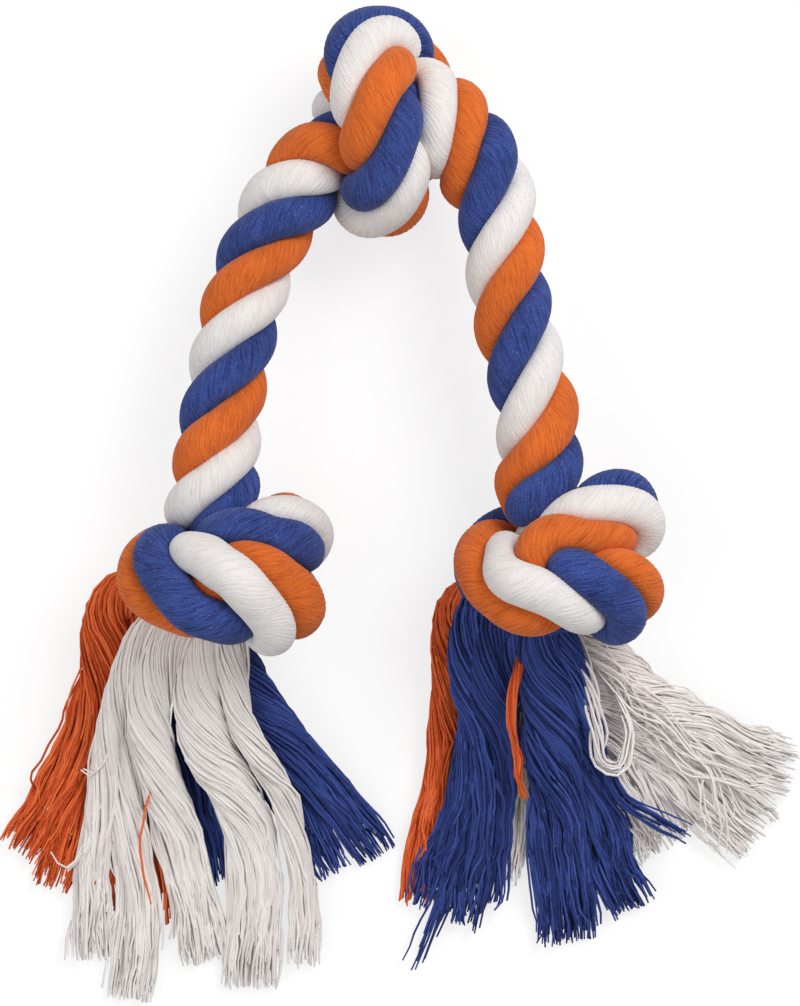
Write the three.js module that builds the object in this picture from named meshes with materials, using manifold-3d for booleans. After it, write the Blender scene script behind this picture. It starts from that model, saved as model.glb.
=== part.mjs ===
// A rope tug toy for dogs: one three-strand cotton rope, knotted at both ends and in the middle. It lies
// flat in an arch, and its two ends are combed out into tassels. Millimetres, +Z up, lying on Z = 0.
import * as THREE from "three";
import Module from "manifold-3d";
import { mergeVertices } from "three/addons/utils/BufferGeometryUtils.js";

// Rope: strands are round on the legs, and squeezed flat in the knots
const strandDiameter = 13.4;
const squeezedThickness = 10.8;
const squeezedWidth = 17;
const layClearance = 0.55;
const layRadius = strandDiameter / Math.sqrt(3) + layClearance;
const layPitch = 57;
const leftKnotPitch = 68;
const middleKnotPitch = 46;
const rightKnotPitch = 68;
const middleKnotTurn = -120;
const entryLength = 30;
const leftEntryTurn = 110;
const rightEntryTurn = 140;
const tailLength = 65;
const leftTailPitch = 89;
const rightTailPitch = 250;
const strandGap = 0.9;
const endGap = 0.6;
const touchGap = 0.3;
const bendLength = 30;
const colours = { blue: 0x30489b, orange: 0xd96423, white: 0xe8e4e2 };

// Knots: where each one sits, how it is turned about its own rope and in the plane, and how tight it is
const legHeight = 38;
const leftKnot = { at: [-65, -22, 38.5], spin: -22, turn: 0, pull: [1.2, 0.55, 0.7] };
const middleKnot = { at: [-7, 136.5, 38.5], spin: 90, turn: 107, pull: [0.85, 0.6, 0.78] };
const rightKnot = { at: [54, -20, 38], spin: -28, turn: 8, pull: [1.35, 0.8, 0.7] };

// Half an overhand knot, from where the rope enters to the far side of its loop. The other half is the same,
// turned half a turn about the line from the middle of the knot to there.
const halfKnot = [
  [0, 27, -1], [2, 9, -7], [9, -8, -13], [22, -12, -9], [27, -11, 5],
  [16, -9, 19], [-2, -6, 24], [-18, -2, 17], [-26, 0, 0],
];

// Legs and tails of the rope, as seen from above
const leftTail = [[-73, -47, 28]];
const leftLeg = [[-64, 12], [-63.5, 29.5], [-60.7, 47], [-57, 65], [-52.5, 81], [-45.4, 97], [-36, 111]];
const rightLeg = [[27, 127], [33.4, 109], [36.6, 91.6], [39, 72], [43, 54], [47.6, 36.6], [52, 18]];
const rightTail = [[40, -46, 28]];

// Locks of loose yarn in the two tassels, from the end of the rope to their tips. The colour named first lies
// on top of the next ones.
const rootInset = 0.9;
const rootDiameter = squeezedThickness - 2 * rootInset;
const rootLength = 10;
const lockInset = 1;
const lockRoot = rootDiameter - 2 * lockInset;
const lockSpreadBy = 0.35;
const lockTaperFrom = 0.6;
const tipNarrowing = 0.35;
const tipThinning = 0.5;
const lockRings = 8;
const topLock = { width: 17, thickness: 7 };
const sideLock = { width: 18, thickness: 7 };
const thinLock = { width: 16, thickness: 6 };
const lock = (size, ...path) => ({ ...size, path });
const tassels = {
  left: {
    white: [
      lock(topLock, [-88, -74, 26], [-99, -108, 15], [-107, -140, 5], [-110, -167, 1.6]),
      lock(topLock, [-83, -78, 27], [-88, -112, 16], [-92, -146, 5], [-95, -177, 1.6]),
      lock(topLock, [-73, -80, 27], [-65, -112, 16], [-58, -145, 5], [-56, -174, 1.6]),
      lock(topLock, [-66, -78, 26], [-52, -108, 15], [-42, -142, 5], [-40, -177, 1.6]),
    ],
    orange: [
      lock(sideLock, [-97, -58, 12], [-110, -88, 5], [-124, -112, 3.2], [-135.5, -126, 1.6]),
      lock(sideLock, [-97, -62, 11], [-106, -94, 5], [-113, -124, 3.2], [-117, -144, 1.6]),
      lock(thinLock, [-92, -66, 9], [-96, -100, 4], [-98, -128, 3.2], [-99, -148, 1.6]),
    ],
    blue: [
      lock(sideLock, [-53, -66, 12], [-34, -92, 5], [-18, -112, 3.2], [-9, -126, 1.6]),
      lock(sideLock, [-56, -70, 11], [-43, -98, 5], [-30, -120, 3.2], [-24, -133, 1.6]),
      lock(thinLock, [-64, -74, 8], [-62, -104, 4], [-60, -124, 3.2], [-59, -137, 1.6]),
    ],
  },
  right: {
    blue: [
      lock(topLock, [32, -76, 26], [24, -108, 15], [15, -138, 5], [11, -156, 1.6]),
      lock(topLock, [38, -80, 27], [33, -112, 15], [29, -138, 5], [28, -153, 1.6]),
      lock(topLock, [50, -78, 27], [55, -110, 15], [58, -136, 5], [58, -153, 1.6]),
      lock(thinLock, [60, -74, 25], [74, -102, 14], [84, -126, 5], [90, -140, 1.6]),
    ],
    orange: [
      lock(thinLock, [20, -58, 12], [18, -88, 5], [11, -114, 3.2], [6, -136, 1.6]),
      lock(thinLock, [24, -62, 10], [26, -90, 4], [22, -112, 3.2], [18, -130, 1.6]),
    ],
    white: [
      lock(sideLock, [72, -58, 11], [100, -76, 5], [122, -88, 3.2], [137.4, -96, 1.6]),
      lock(sideLock, [70, -64, 10], [95, -88, 5], [114, -106, 3.2], [125, -117, 1.6]),
      lock(thinLock, [66, -70, 8], [82, -98, 4], [91, -116, 3.2], [96, -128, 1.6]),
    ],
  },
};

// Which way the first strand faces half way up each leg, in degrees from straight up
const leftLegPhase = 122;
const rightLegPhase = -95;

// How the strands are drawn tight
const stepLength = 5;
const settleRounds = 220;
const settlePull = 0.2;
const lastPull = 0.033;
const lastRounds = 66;
const settleStiffness = 0.05;
const pushesPerRound = 6;
const roundsPerSearch = 8;
const nearDiameters = 1.6;
const heldSteps = 2;
const legBlend = 22;
const legFree = 14;
const ringSides = 7;
const pointsPerSpan = 200;
const mergeDistance = 1e-4;

const colourNames = Object.keys(colours);
const up = new THREE.Vector3(0, 0, 1);
const radians = THREE.MathUtils.degToRad;
const toVector = ([x, y, z = legHeight]) => new THREE.Vector3(x, y, z);

function knotRoute({ at, spin, turn, pull }) {
  const firstHalf = halfKnot.map(toVector);
  const secondHalf = firstHalf.slice(0, -1).reverse().map(({ x, y, z }) => new THREE.Vector3(x, -y, -z));
  const placement = new THREE.Matrix4()
    .makeTranslation(...at)
    .multiply(new THREE.Matrix4().makeRotationZ(radians(turn)))
    .multiply(new THREE.Matrix4().makeRotationY(radians(spin)))
    .multiply(new THREE.Matrix4().makeScale(...pull));
  return [...firstHalf, ...secondHalf].map((point) => point.applyMatrix4(placement));
}

const stretches = [
  leftTail.map(toVector),
  knotRoute(leftKnot).reverse(),
  leftLeg.map(toVector),
  knotRoute(middleKnot),
  rightLeg.map(toVector),
  knotRoute(rightKnot),
  rightTail.map(toVector),
];
const routePoints = stretches.flat();
const route = new THREE.CatmullRomCurve3(routePoints, false, "centripetal");
route.arcLengthDivisions = pointsPerSpan * (routePoints.length - 1);
const routeLength = route.getLength();
const stepCount = Math.round(routeLength / stepLength);
const arcAtStep = Array.from({ length: stepCount + 1 }, (_, step) => (step * routeLength) / stepCount);
const centres = route.getSpacedPoints(stepCount);

// Distance along the rope of the first and the last point of one stretch
function arcSpan(stretch) {
  const lengths = route.getLengths();
  const before = stretches.slice(0, stretch).flat().length;
  const last = before + stretches[stretch].length - 1;
  return [before, last].map((index) => lengths[pointsPerSpan * index]);
}
const leftSpan = arcSpan(2);
const rightSpan = arcSpan(4);

// A direction square to the rope at each step, carried along it without twisting
function carriedNormals(points, start, startNormal) {
  const tangents = points.map((_, i) => {
    const next = points[Math.min(i + 1, points.length - 1)];
    return next.clone().sub(points[Math.max(i - 1, 0)]).normalize();
  });
  const normals = [];
  normals[start] = startNormal.clone().projectOnPlane(tangents[start]).normalize();
  for (let i = start + 1; i < points.length; i++) {
    normals[i] = normals[i - 1].clone().projectOnPlane(tangents[i]).normalize();
  }
  for (let i = start - 1; i >= 0; i--) {
    normals[i] = normals[i + 1].clone().projectOnPlane(tangents[i]).normalize();
  }
  return { tangents, normals };
}
const stepAtArc = (arc) => Math.round((arc / routeLength) * stepCount);
const middleOf = ([from, to]) => (from + to) / 2;
const leftMiddle = middleOf(leftSpan);
const rightMiddle = middleOf(rightSpan);
const ropeFrame = carriedNormals(centres, stepAtArc(leftMiddle), up);

// Turn of the lay, in degrees, at a distance along the rope. The tails, end knots and legs have their own
// pitches, and the middle knot takes up what is left between the two legs.
const legLay = 360 / layPitch;
const rightStep = stepAtArc(rightMiddle);
const rightUp = up.clone().projectOnPlane(ropeFrame.tangents[rightStep]).normalize();
const carriedTurn = THREE.MathUtils.radToDeg(Math.atan2(
  ropeFrame.normals[rightStep].clone().cross(rightUp).dot(ropeFrame.tangents[rightStep]),
  ropeFrame.normals[rightStep].dot(rightUp),
));
const layBetween = rightLegPhase + carriedTurn - leftLegPhase;
const layOnLegs = legLay * (leftSpan[1] - leftMiddle + rightMiddle - rightSpan[0]);
const middleLength = rightSpan[0] - leftSpan[1];
const knotMiddle = middleOf([leftSpan[1], rightSpan[0]]);
const wholeTurns = Math.round((layOnLegs + (360 / middleKnotPitch) * middleLength - layBetween) / 360);
const middleLay = (layBetween + 360 * wholeTurns - layOnLegs) / middleLength;
const middleTurnRate = middleKnotTurn / (middleLength / 2);

function turnedFromTail(arc) {
  const within = (from, to) => THREE.MathUtils.clamp(arc, from, to) - from;
  return (360 / leftTailPitch) * within(0, tailLength)
    + (360 / leftKnotPitch) * within(tailLength, leftSpan[0]) + legLay * within(...leftSpan)
    + (leftEntryTurn / entryLength) * within(leftSpan[0] - entryLength, leftSpan[0])
    + middleLay * within(leftSpan[1], rightSpan[0]) + legLay * within(...rightSpan)
    + middleTurnRate * (within(leftSpan[1], knotMiddle) - within(knotMiddle, rightSpan[0]))
    + (360 / rightKnotPitch) * within(rightSpan[1], routeLength - tailLength)
    + (rightEntryTurn / entryLength) * within(rightSpan[1], rightSpan[1] + entryLength)
    + (360 / rightTailPitch) * within(routeLength - tailLength, routeLength);
}

const layAngle = (arc) => leftLegPhase + turnedFromTail(arc) - turnedFromTail(leftMiddle);

// 1 on the open legs, 0 in the knots
function openness(arc) {
  const along = ([from, to]) => THREE.MathUtils.smoothstep(arc, from, from + legBlend)
    * (1 - THREE.MathUtils.smoothstep(arc, to - legBlend, to));
  return Math.max(along(leftSpan), along(rightSpan));
}
const mixAlong = (inKnot, onLeg) => arcAtStep.map((arc) => (
  THREE.MathUtils.lerp(inKnot, onLeg, openness(arc))
));
const contactRadii = mixAlong(squeezedThickness / 2, strandDiameter / 2);
const outerRadii = mixAlong(squeezedWidth / 2, strandDiameter / 2 + strandGap / 2);

// The three strands wound round the rope's centre line
const laidStrands = colourNames.map((_, strand) => centres.map((centre, step) => {
  const angle = radians(layAngle(arcAtStep[step]) + (360 * strand) / colourNames.length);
  const normal = ropeFrame.normals[step];
  const side = ropeFrame.tangents[step].clone().cross(normal);
  return centre.clone().addScaledVector(normal, layRadius * Math.cos(angle))
    .addScaledVector(side, layRadius * Math.sin(angle));
}));

// Pairs of points on the strands that are close enough to touch
const nearAlong = Math.round((nearDiameters * strandDiameter) / stepLength);
const strandOf = (point) => Math.floor(point / (stepCount + 1));
const stepOf = (point) => point % (stepCount + 1);
function closePairs(points, reach) {
  const cells = new Map();
  const cellOf = (point) => [point.x, point.y, point.z].map((value) => Math.floor(value / reach));
  points.forEach((point, index) => {
    const key = cellOf(point).join();
    cells.set(key, [...(cells.get(key) ?? []), index]);
  });
  const pairs = [];
  points.forEach((point, index) => {
    const [cx, cy, cz] = cellOf(point);
    for (let dx = -1; dx <= 1; dx++) {
      for (let dy = -1; dy <= 1; dy++) {
        for (let dz = -1; dz <= 1; dz++) {
          for (const other of cells.get([cx + dx, cy + dy, cz + dz].join()) ?? []) {
            const sameRun = strandOf(index) === strandOf(other) && other - index < nearAlong;
            if (other <= index || sameRun) continue;
            if (point.distanceTo(points[other]) < reach) pairs.push([index, other]);
          }
        }
      }
    }
  });
  return pairs;
}

// The knots drawn tight: each strand shortens, and strands that touch push each other apart. The legs stay.
const onOpenLeg = (arc, [from, to]) => arc > from + legFree && arc < to - legFree;
const isHeld = arcAtStep.map((arc, step) => step < heldSteps || step > stepCount - heldSteps
  || onOpenLeg(arc, leftSpan) || onOpenLeg(arc, rightSpan));
function settle(strands) {
  const points = strands.flat().map((point) => point.clone());
  let pairs = [];
  for (let round = 0; round < settleRounds; round++) {
    if (round % roundsPerSearch === 0) pairs = closePairs(points, 2 * strandDiameter);
    const pull = round < settleRounds - lastRounds ? settlePull : lastPull;
    const drawn = points.map((point, index) => {
      if (isHeld[stepOf(index)]) return point.clone();
      const between = points[index - 1].clone().add(points[index + 1]).multiplyScalar(0.5);
      const wider = points[index - 2].clone().add(points[index + 2]).multiplyScalar(0.5);
      return point.clone().lerp(between, pull).lerp(wider, settleStiffness);
    });
    drawn.forEach((point, index) => points[index].copy(point));
    for (let push = 0; push < pushesPerRound; push++) pushApart(points, pairs);
  }
  return strands.map((strand, index) => strand.map((_, step) => points[index * (stepCount + 1) + step]));
}
function pushApart(points, pairs) {
  const moves = points.map(() => new THREE.Vector3());
  const hits = points.map(() => 0);
  for (const [one, other] of pairs) {
    const apart = points[one].clone().sub(points[other]);
    const short = contactRadii[stepOf(one)] + contactRadii[stepOf(other)] - apart.length();
    if (short <= 0) continue;
    apart.setLength(short / 2);
    moves[one].add(apart);
    moves[other].sub(apart);
    hits[one] += 1;
    hits[other] += 1;
  }
  points.forEach((point, index) => {
    if (hits[index] === 0 || isHeld[stepOf(index)]) return;
    point.addScaledVector(moves[index], Math.min(1, 2 / hits[index]));
  });
}
const strandPaths = settle(laidStrands);

// A strand fills the room up to half way to its neighbours, and keeps its own width where it has none
const samplesPerStep = 3;
const neighbourReach = 2 * squeezedWidth;
const samples = strandPaths.flatMap((path, strand) => path.slice(0, -1).flatMap((point, step) => (
  Array.from({ length: samplesPerStep }, (_, part) => ({
    strand,
    step: step + part / samplesPerStep,
    point: point.clone().lerp(path[step + 1], part / samplesPerStep),
  }))
)));
function neighbourOffsets(strand, step) {
  const centre = strandPaths[strand][step];
  return samples
    .filter((sample) => sample.strand !== strand || Math.abs(sample.step - step) >= nearAlong)
    .map((sample) => sample.point.clone().sub(centre))
    .filter((offset) => offset.length() < neighbourReach);
}
const strandFrames = strandPaths.map((path) => carriedNormals(path, 0, up));
function strandRing(strand, step, shift, grow) {
  const { tangents, normals } = strandFrames[strand];
  const side = tangents[step].clone().cross(normals[step]);
  const offsets = neighbourOffsets(strand, step);
  return Array.from({ length: ringSides }, (_, corner) => {
    const angle = (2 * Math.PI * corner) / ringSides;
    const outward = normals[step].clone().multiplyScalar(Math.cos(angle))
      .addScaledVector(side, Math.sin(angle));
    let room = outerRadii[step];
    for (const offset of offsets) {
      const towards = outward.dot(offset);
      if (towards > 0) room = Math.min(room, offset.lengthSq() / (2 * towards) - strandGap / 2);
    }
    return strandPaths[strand][step].clone().addScaledVector(outward, room + grow)
      .addScaledVector(tangents[step], shift);
  });
}

// A closed tube through rings of corners
function tubeGeometry(rings) {
  const corners = rings[0].length;
  const middles = [rings[0], rings.at(-1)].map((ring) => (
    ring.reduce((sum, point) => sum.add(point), new THREE.Vector3()).divideScalar(corners)
  ));
  const points = [...rings.flat(), ...middles];
  const firstMiddle = rings.length * corners;
  const faces = [];
  for (let corner = 0; corner < corners; corner++) {
    const next = (corner + 1) % corners;
    for (let ring = 0; ring < rings.length - 1; ring++) {
      const here = ring * corners;
      const there = here + corners;
      faces.push(here + corner, here + next, there + corner, here + next, there + next, there + corner);
    }
    const last = (rings.length - 1) * corners;
    faces.push(firstMiddle, next, corner, firstMiddle + 1, last + corner, last + next);
  }
  const geometry = new THREE.BufferGeometry().setFromPoints(points);
  geometry.setIndex(faces);
  return geometry;
}

function strandPiece(strand, fromStep, toStep, grow) {
  const rings = [strandRing(strand, fromStep, endGap / 2 - grow, grow)];
  for (let step = fromStep + 1; step < toStep; step++) rings.push(strandRing(strand, step, 0, grow));
  rings.push(strandRing(strand, toStep, grow - endGap / 2, grow));
  return tubeGeometry(rings);
}

// A lock of loose yarn: a flattened tube that starts inside the root of its tassel and tapers to a thin tip
function lockGeometry(start, { width, thickness, path }, grow) {
  const curve = new THREE.CatmullRomCurve3([start, ...path.map(toVector)], false, "centripetal");
  const rings = [];
  for (let ring = 0; ring <= lockRings; ring++) {
    const along = ring / lockRings;
    const centre = curve.getPointAt(along);
    const tangent = curve.getTangentAt(along);
    const flat = new THREE.Vector3().crossVectors(up, tangent).normalize();
    const over = new THREE.Vector3().crossVectors(tangent, flat);
    const spread = THREE.MathUtils.smoothstep(along, 0, lockSpreadBy);
    const tip = THREE.MathUtils.smoothstep(along, lockTaperFrom, 1);
    const fullWidth = THREE.MathUtils.lerp(lockRoot, width, spread) * (1 - tipNarrowing * tip);
    const fullThickness = THREE.MathUtils.lerp(lockRoot, thickness, spread) * (1 - tipThinning * tip);
    rings.push(Array.from({ length: ringSides }, (_, corner) => {
      const angle = (2 * Math.PI * corner) / ringSides;
      return centre.clone()
        .addScaledVector(flat, (fullWidth / 2 + grow) * Math.cos(angle))
        .addScaledVector(over, (fullThickness / 2 + grow) * Math.sin(angle));
    }));
  }
  return tubeGeometry(rings);
}

// The short round stretch where the yarns of a strand are still together
function rootGeometry(from, to, grow) {
  const { tangents, normals } = carriedNormals([from, to], 0, up);
  const side = tangents[0].clone().cross(normals[0]);
  const radius = rootDiameter / 2 + grow;
  return tubeGeometry([from, to].map((centre) => Array.from({ length: ringSides }, (_, corner) => {
    const angle = (2 * Math.PI * corner) / ringSides;
    return centre.clone().addScaledVector(normals[0], radius * Math.cos(angle))
      .addScaledVector(side, radius * Math.sin(angle));
  })));
}

const wasm = await Module();
wasm.setup();
function toSolid(geometry) {
  const merged = mergeVertices(geometry, mergeDistance);
  return new wasm.Manifold(new wasm.Mesh({
    numProp: 3,
    vertProperties: new Float32Array(merged.attributes.position.array),
    triVerts: new Uint32Array(merged.index.array),
  }));
}
function toGeometry(solid) {
  const mesh = solid.getMesh();
  const geometry = new THREE.BufferGeometry();
  geometry.setAttribute("position", new THREE.BufferAttribute(new Float32Array(mesh.vertProperties), 3));
  geometry.setIndex(new THREE.BufferAttribute(new Uint32Array(mesh.triVerts), 1));
  return geometry;
}
const joined = (solids) => solids.reduce((sum, solid) => sum.add(solid));

// The surface that the toy lies on
const surfaceSize = 2 * routeLength;
const surfaceBox = new THREE.BoxGeometry(surfaceSize, surfaceSize, surfaceSize);
surfaceBox.translate(0, 0, -surfaceSize / 2);
surfaceBox.deleteAttribute("normal");
surfaceBox.deleteAttribute("uv");
const surface = toSolid(surfaceBox);

// What is left of a soft piece where the surface and firmer pieces press into it
function pressed(solid, firmer) {
  const bodies = firmer.reduce((rest, other) => rest.subtract(other), solid.subtract(surface)).decompose();
  return bodies.reduce((best, body) => (body.volume() > best.volume() ? body : best));
}

const toy = new THREE.Group();
function addPiece(group, name, geometry, colour) {
  const material = new THREE.MeshStandardMaterial({ color: colours[colour], roughness: 0.9, metalness: 0 });
  const mesh = new THREE.Mesh(geometry, material);
  mesh.name = name;
  group.add(mesh);
}

// The rope, cut where it bends: each strand runs on from one stretch into the next
const bendCuts = [leftMiddle, rightMiddle].flatMap((middle) => (
  [-bendLength / 2, bendLength / 2].map((offset) => stepAtArc(middle + offset))
));
const cuts = [0, ...bendCuts, stepCount];
const stretchNames = ["left_knot", "left_bend", "middle_knot", "right_bend", "right_knot"];
const pressedInto = {};
stretchNames.forEach((stretch, index) => {
  const group = new THREE.Group();
  toy.add(group);
  pressedInto[stretch] = [];
  colourNames.forEach((colour, strand) => {
    const solidAt = (grow) => toSolid(strandPiece(strand, cuts[index], cuts[index + 1], grow));
    const shape = toGeometry(pressed(solidAt(0), pressedInto[stretch]));
    addPiece(group, `${stretch}_${colour}`, shape, colour);
    pressedInto[stretch].push(solidAt(touchGap));
  });
});

// The tassels: a lock that lies on another one presses it down
function tasselSolid(side, colour, grow) {
  const path = strandPaths[colourNames.indexOf(colour)];
  const end = side === "left" ? path[0] : path.at(-1);
  const inner = side === "left" ? path[2] : path.at(-3);
  const outwards = end.clone().sub(inner).normalize();
  const along = (distance) => end.clone().addScaledVector(outwards, distance);
  const root = rootGeometry(along(endGap / 2), along(rootLength), grow);
  const locks = tassels[side][colour].map((lock) => lockGeometry(along(rootLength / 2), lock, grow));
  return joined([root, ...locks].map(toSolid));
}
for (const side of Object.keys(tassels)) {
  const group = new THREE.Group();
  toy.add(group);
  const firmer = [...pressedInto[`${side}_knot`]];
  for (const colour of Object.keys(tassels[side])) {
    const shape = toGeometry(pressed(tasselSolid(side, colour, 0), firmer));
    addPiece(group, `${side}_tassel_${colour}`, shape, colour);
    firmer.push(tasselSolid(side, colour, touchGap));
  }
}

export default toy;
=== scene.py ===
import math
import bpy
import numpy as np
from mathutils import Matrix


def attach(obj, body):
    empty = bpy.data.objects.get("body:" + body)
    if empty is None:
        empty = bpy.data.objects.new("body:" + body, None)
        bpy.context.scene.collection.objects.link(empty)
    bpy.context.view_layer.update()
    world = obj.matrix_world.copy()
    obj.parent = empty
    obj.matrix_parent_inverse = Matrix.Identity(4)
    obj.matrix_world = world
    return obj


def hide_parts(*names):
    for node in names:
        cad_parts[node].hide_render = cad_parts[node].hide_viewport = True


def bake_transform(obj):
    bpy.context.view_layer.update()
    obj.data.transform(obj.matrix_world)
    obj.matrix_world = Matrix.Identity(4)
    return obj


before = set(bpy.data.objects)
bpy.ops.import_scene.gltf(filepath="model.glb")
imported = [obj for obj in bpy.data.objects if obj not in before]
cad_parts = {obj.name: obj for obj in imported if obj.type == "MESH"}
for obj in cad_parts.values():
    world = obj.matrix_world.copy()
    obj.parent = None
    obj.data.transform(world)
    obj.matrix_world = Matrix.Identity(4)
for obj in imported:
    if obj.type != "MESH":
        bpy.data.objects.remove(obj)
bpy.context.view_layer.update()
scene = bpy.context.scene
scene.view_settings.view_transform = "Standard"
mm = 0.001
colourOrder = ["blue", "orange", "white"]


def toLinear(hexText):  # sRGB hex to linear colour
    values = [int(hexText[i:i + 2], 16) / 255 for i in (1, 3, 5)]
    return (*[v / 12.92 if v <= 0.04045 else ((v + 0.055) / 1.055) ** 2.4 for v in values], 1.0)


# an input is a value, a socket, or a node for its first output
def addNode(tree, kind, inputs=None, **settings):
    node = tree.nodes.new(kind)
    for name, value in settings.items():
        setattr(node, name, value)
    for socket, value in (inputs or {}).items():
        if isinstance(value, bpy.types.Node):
            value = value.outputs[0]
        if isinstance(value, bpy.types.NodeSocket):
            tree.links.new(value, node.inputs[socket])
        else:
            node.inputs[socket].default_value = value
    return node


# camera straight above, on a long lens, framed as 800 x 1006
photoView = {"height": 1.5, "ropeHeight": 0.038, "frameLength": 0.357, "sensor": 36.0}
camera = bpy.data.cameras.new("photoCamera")
camera.sensor_width = photoView["sensor"]
camera.lens = photoView["sensor"] * (photoView["height"] - photoView["ropeHeight"]) / photoView["frameLength"]
cameraObject = bpy.data.objects.new("photoCamera", camera)
cameraObject.location = (0, 0, photoView["height"])
scene.collection.objects.link(cameraObject)
scene.camera = cameraObject
print("camera set")

# soft boxes: the main one stands at the upper right of the picture
studio = {
    "key": {"at": (0.55, 0.6, 0.95), "size": 0.6, "power": 9.0},
    "fill": {"at": (-0.8, -0.2, 0.9), "size": 1.0, "power": 4.0},
    "sky": 0.42,
}
for name in ("key", "fill"):
    lamp = bpy.data.lights.new(name + "SoftBox", "AREA")
    lamp.size = studio[name]["size"]
    lamp.energy = studio[name]["power"]
    lampObject = bpy.data.objects.new(name + "SoftBox", lamp)
    lampObject.location = studio[name]["at"]
    lampObject.rotation_euler = (-lampObject.location).to_track_quat("-Z", "Y").to_euler()
    scene.collection.objects.link(lampObject)
world = bpy.data.worlds.new("studioSky")
world.use_nodes = True
world.node_tree.nodes["Background"].inputs["Color"].default_value = (1, 1, 1, 1)
world.node_tree.nodes["Background"].inputs["Strength"].default_value = studio["sky"]
scene.world = world

# white paper sweep, matt: part of its white is its own for the camera, so the shadow stays
sweep = {"reach": 3.0, "paper": "#dedede", "seenPaper": "#989898", "glow": 0.73}
floorPaper = bpy.data.materials.new("whitePaperSweep")
floorPaper.use_nodes = True
tree = floorPaper.node_tree
tree.nodes.clear()
rays = addNode(tree, "ShaderNodeLightPath").outputs
mirrored = addNode(tree, "ShaderNodeMath", {0: rays["Is Glossy Ray"], 1: rays["Is Transmission Ray"]},
                   operation="MAXIMUM")
seen = addNode(tree, "ShaderNodeMath", {0: rays["Is Camera Ray"], 1: mirrored}, operation="MAXIMUM")
paper = addNode(tree, "ShaderNodeBsdfDiffuse", {"Color": toLinear(sweep["paper"])})
seenPaper = addNode(tree, "ShaderNodeBsdfDiffuse", {"Color": toLinear(sweep["seenPaper"])})
glow = addNode(tree, "ShaderNodeEmission", {"Color": (1, 1, 1, 1), "Strength": sweep["glow"]})
both = addNode(tree, "ShaderNodeAddShader", {0: seenPaper, 1: glow})
mixed = addNode(tree, "ShaderNodeMixShader", {0: seen, 1: paper, 2: both})
addNode(tree, "ShaderNodeOutputMaterial", {"Surface": mixed})
floorMesh = bpy.data.meshes.new("floor")
floorCorners = [(x * sweep["reach"], y * sweep["reach"], 0) for x, y in ((-1, -1), (1, -1), (1, 1), (-1, 1))]
floorMesh.from_pydata(floorCorners, [], [(0, 1, 2, 3)])
floorMesh.materials.append(floorPaper)
floor = bpy.data.objects.new("floor", floorMesh)
scene.collection.objects.link(floor)
print("stage set")

# the rope's route and lay, in mm and degrees, the same as the solids'
rope = {
    "strandDiameter": 13.4, "squeezedThickness": 10.8, "squeezedWidth": 17.0, "layClearance": 0.55,
    "layPitch": 57.0, "leftKnotPitch": 68.0, "middleKnotPitch": 46.0, "rightKnotPitch": 68.0,
    "middleKnotTurn": -120.0, "entryLength": 30.0, "leftEntryTurn": 110.0, "rightEntryTurn": 140.0,
    "tailLength": 65.0, "leftTailPitch": 89.0, "rightTailPitch": 250.0, "legHeight": 38.0,
    "leftLegPhase": 122.0, "rightLegPhase": -95.0,
    "leftKnot": {"at": (-65, -22, 38.5), "spin": -22, "turn": 0, "pull": (1.2, 0.55, 0.7)},
    "middleKnot": {"at": (-7, 136.5, 38.5), "spin": 90, "turn": 107, "pull": (0.85, 0.6, 0.78)},
    "rightKnot": {"at": (54, -20, 38), "spin": -28, "turn": 8, "pull": (1.35, 0.8, 0.7)},
    "halfKnot": [(0, 27, -1), (2, 9, -7), (9, -8, -13), (22, -12, -9), (27, -11, 5),
                 (16, -9, 19), (-2, -6, 24), (-18, -2, 17), (-26, 0, 0)],
    "leftTail": [(-73, -47, 28)],
    "leftLeg": [(-64, 12), (-63.5, 29.5), (-60.7, 47), (-57, 65), (-52.5, 81), (-45.4, 97), (-36, 111)],
    "rightLeg": [(27, 127), (33.4, 109), (36.6, 91.6), (39, 72), (43, 54), (47.6, 36.6), (52, 18)],
    "rightTail": [(40, -46, 28)],
    "stepLength": 5.0, "settleRounds": 220, "settlePull": 0.2, "lastPull": 0.033, "lastRounds": 66,
    "stiffness": 0.05, "pushes": 6, "roundsPerSearch": 8, "nearDiameters": 1.6, "heldSteps": 2,
    "legBlend": 22.0, "legFree": 14.0, "pointsPerSpan": 200,
}
layRadius = rope["strandDiameter"] / math.sqrt(3) + rope["layClearance"]
upward = np.array([0.0, 0.0, 1.0])


def turnMatrix(axis, degrees):
    c, s = math.cos(math.radians(degrees)), math.sin(math.radians(degrees))
    return np.array([[c, 0, s], [0, 1, 0], [-s, 0, c]] if axis == "y" else [[c, -s, 0], [s, c, 0], [0, 0, 1]])


def knotRoute(knot):  # an overhand knot is one half, and the same half turned over
    first = np.array(rope["halfKnot"], float)
    second = first[:-1][::-1] * (1, -1, -1)
    points = np.vstack([first, second]) * knot["pull"]
    return points @ (turnMatrix("z", knot["turn"]) @ turnMatrix("y", knot["spin"])).T + knot["at"]


def withHeight(points):
    return np.array([p if len(p) == 3 else (*p, rope["legHeight"]) for p in points], float)


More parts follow.
